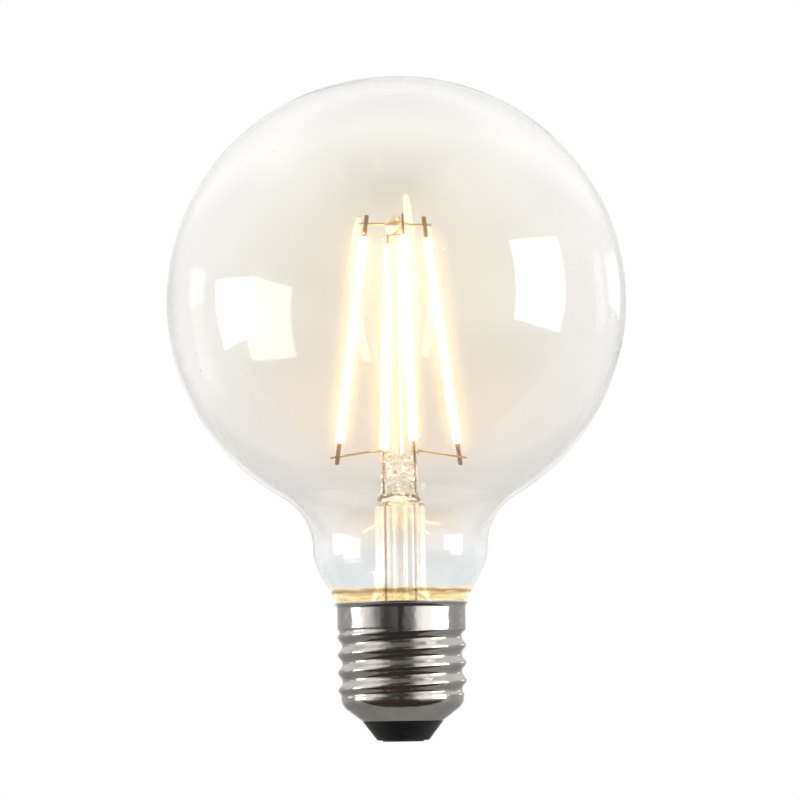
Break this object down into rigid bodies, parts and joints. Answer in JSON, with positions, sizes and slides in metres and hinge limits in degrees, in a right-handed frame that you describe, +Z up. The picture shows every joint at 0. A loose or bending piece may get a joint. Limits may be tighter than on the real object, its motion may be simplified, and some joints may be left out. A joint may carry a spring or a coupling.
{
  "type": "globe bulb",
  "caption": "Clear glass globe bulb with upright glowing LED filaments on a glass stem and a nickel screw cap with a black insulator.",
  "frame": {"origin": "centre of the centre contact's outer face, at the bottom of the screw cap", "axes": "+Z up along the lamp axis through the globe, +X to the right along the flat width of the stem press, +Y to the back"},
  "size_m": [0.095, 0.095, 0.137],
  "materials": {
    "clear_glass": "clear blown glass, high gloss",
    "stem_glass": "clear drawn glass",
    "filament_coat": "phosphor silicone coat, glowing warm white",
    "tab_copper": "brown copper strip",
    "wire_metal": "drawn nickel wire",
    "nickel_plate": "bright nickel plate on rolled sheet",
    "cement": "tan basing cement",
    "black_insulator": "black, satin",
    "contact_metal": "tinned contact",
    "board_laminate": "glass laminate board",
    "capacitor_can": "sleeved can",
    "chip_black": "moulded package",
    "resistor_body": "coated body",
    "wire_sleeve": "sleeved wire"
  },
  "bodies": {
    "root": {"basing_cement": "cement", "bridge_rectifier": "chip_black", "centre_contact": "contact_metal", "centre_wire": "wire_sleeve", "driver_board": "board_laminate", "driver_chip": "chip_black", "exhaust_tube": "stem_glass", "filament_back": "filament_coat", "filament_front": "filament_coat", "filament_left": "filament_coat", "filament_right": "filament_coat", "fuse_resistor": "resistor_body", "glass_globe": "clear_glass", "insulator": "black_insulator", "left_bracket_wire": "wire_metal", "left_lead_wire": "wire_metal", "lower_tab_back": "tab_copper", "lower_tab_front": "tab_copper", "lower_tab_left": "tab_copper", "lower_tab_right": "tab_copper", "right_bracket_wire": "wire_metal", "right_lead_wire": "wire_metal", "screw_shell": "nickel_plate", "side_wire": "wire_sleeve", "smoothing_capacitor": "capacitor_can", "stem_tube": "stem_glass", "support_rod": "stem_glass", "upper_tab_back": "tab_copper", "upper_tab_front": "tab_copper", "upper_tab_left": "tab_copper", "upper_tab_right": "tab_copper", "upper_wire_front": "wire_metal", "upper_wire_side": "wire_metal"}
  },
  "joints": []
}
